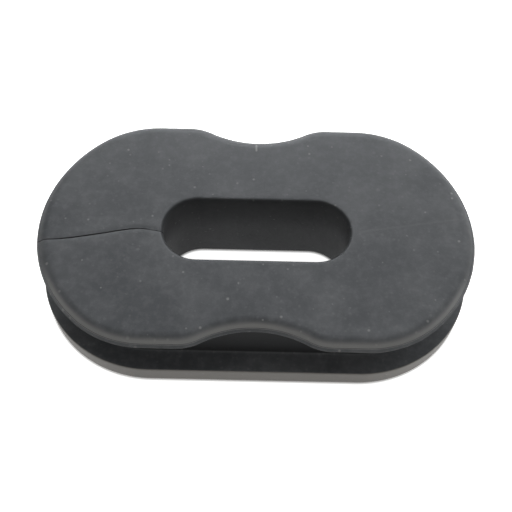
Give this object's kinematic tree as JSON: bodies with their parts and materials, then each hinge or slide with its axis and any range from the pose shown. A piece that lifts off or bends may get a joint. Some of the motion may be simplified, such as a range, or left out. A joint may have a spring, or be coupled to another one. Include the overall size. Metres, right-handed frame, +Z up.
{
  "type": "cable protective cover",
  "caption": "One-piece rubber grommet with a long cable opening: a plain flange, a panel groove and a waisted flange, slit at one end so a cable can be laid in.",
  "frame": {"origin": "middle of the face of the plain flange that it rests on", "axes": "+X along the long side, away from the slit end; +Y across it; +Z up through the cable opening"},
  "size_m": [0.0621, 0.0356, 0.0145],
  "materials": {
    "rubber": "matte moulded"
  },
  "bodies": {
    "root": {"grommet": "rubber"}
  },
  "joints": []
}
